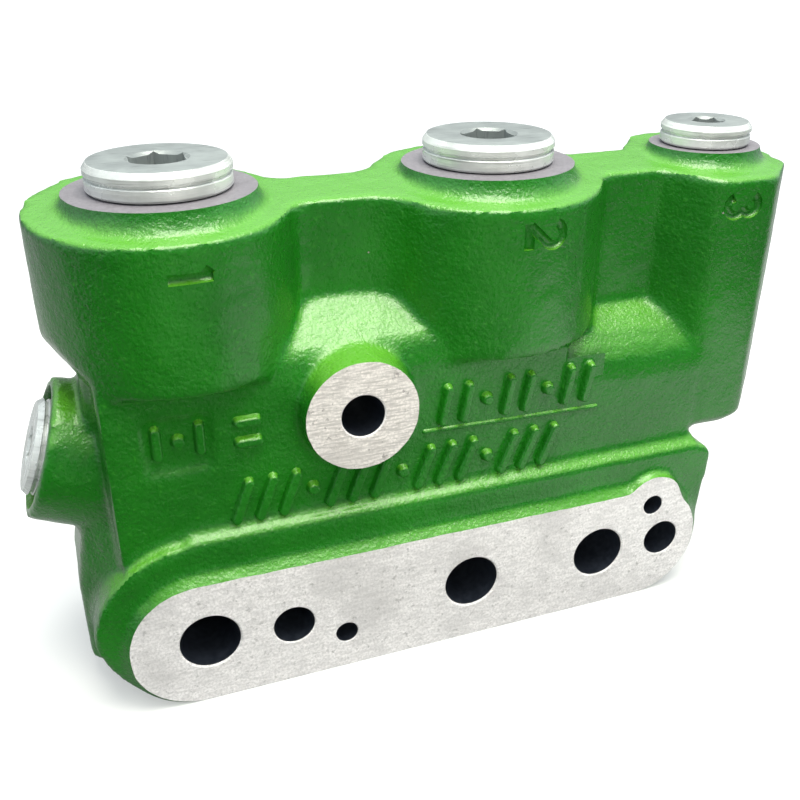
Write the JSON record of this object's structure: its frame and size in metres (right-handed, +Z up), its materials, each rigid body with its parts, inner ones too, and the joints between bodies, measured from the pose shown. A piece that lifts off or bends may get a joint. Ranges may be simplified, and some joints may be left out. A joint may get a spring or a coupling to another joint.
{
  "type": "power beyond valve section",
  "caption": "Green painted end section of a sectional hydraulic valve with upright ports and a canted side port, all closed by collar plugs, and a bare machined mating face.",
  "frame": {"origin": "under the middle of the section, on its flat bottom", "axes": "+X along the row of ports towards the small load sense port, -Y out of the machined mating face, +Z up out of the three upright ports"},
  "size_m": [0.1999, 0.056, 0.1278],
  "materials": {
    "casting_paint": "glossy green paint over rough cast iron, machined faces bare",
    "plated_steel": "bright zinc plating",
    "hardened_steel": "ground and oiled",
    "seal_rubber": "matt black"
  },
  "bodies": {
    "valve_body": {"valve_body": "casting_paint", "load_sense_check_cage": "hardened_steel", "load_sense_check_seat": "hardened_steel", "load_sense_check_o_ring": "seal_rubber", "load_sense_check_snap_ring": "hardened_steel"},
    "return_plug_lift": {"return_port_o_ring": "seal_rubber"},
    "return_plug": {"return_port_plug": "plated_steel"},
    "pressure_plug_lift": {"pressure_port_o_ring": "seal_rubber"},
    "pressure_plug": {"pressure_port_plug": "plated_steel"},
    "load_sense_plug_lift": {"load_sense_port_o_ring": "seal_rubber"},
    "load_sense_plug": {"load_sense_port_plug": "plated_steel"},
    "side_plug_lift": {"side_port_o_ring": "seal_rubber"},
    "side_plug": {"side_port_plug": "plated_steel"},
    "check_ball": {"load_sense_check_ball": "hardened_steel"}
  },
  "joints": [
    {"name": "return_plug_slide", "type": "slide", "parent": "valve_body", "child": "return_plug_lift", "axis": [0, 0, 1], "range_m": [0, 0.012]},
    {"name": "return_plug_turn", "type": "hinge", "parent": "return_plug_lift", "child": "return_plug", "pos_m": [-0.0595, 0, 0.1213], "axis": [0, 0, 1], "range_deg": [0, 2161]},
    {"name": "pressure_plug_slide", "type": "slide", "parent": "valve_body", "child": "pressure_plug_lift", "axis": [0, 0, 1], "range_m": [0, 0.012]},
    {"name": "pressure_plug_turn", "type": "hinge", "parent": "pressure_plug_lift", "child": "pressure_plug", "pos_m": [0.0189, 0, 0.1213], "axis": [0, 0, 1], "range_deg": [0, 2161]},
    {"name": "load_sense_plug_slide", "type": "slide", "parent": "valve_body", "child": "load_sense_plug_lift", "axis": [0, 0, 1], "range_m": [0, 0.009]},
    {"name": "load_sense_plug_turn", "type": "hinge", "parent": "load_sense_plug_lift", "child": "load_sense_plug", "pos_m": [0.0817, 0, 0.1213], "axis": [0, 0, 1], "range_deg": [0, 2161]},
    {"name": "side_plug_slide", "type": "slide", "parent": "valve_body", "child": "side_plug_lift", "axis": [-0.9397, 0, 0.342], "range_m": [0, 0.009]},
    {"name": "side_plug_turn", "type": "hinge", "parent": "side_plug_lift", "child": "side_plug", "pos_m": [-0.0925, 0, 0.0625], "axis": [-0.9397, 0, 0.342], "range_deg": [0, 2161]},
    {"name": "check_ball_lift", "type": "slide", "parent": "valve_body", "child": "check_ball", "axis": [0, 0, 1], "range_m": [0, 0.0014]}
  ],
  "couplings": [
    {"joint": "return_plug_turn", "follows": "return_plug_slide", "rad_per_m": 3141.6},
    {"joint": "pressure_plug_turn", "follows": "pressure_plug_slide", "rad_per_m": 3141.6},
    {"joint": "load_sense_plug_turn", "follows": "load_sense_plug_slide", "rad_per_m": 4188.8},
    {"joint": "side_plug_turn", "follows": "side_plug_slide", "rad_per_m": 4188.8}
  ]
}
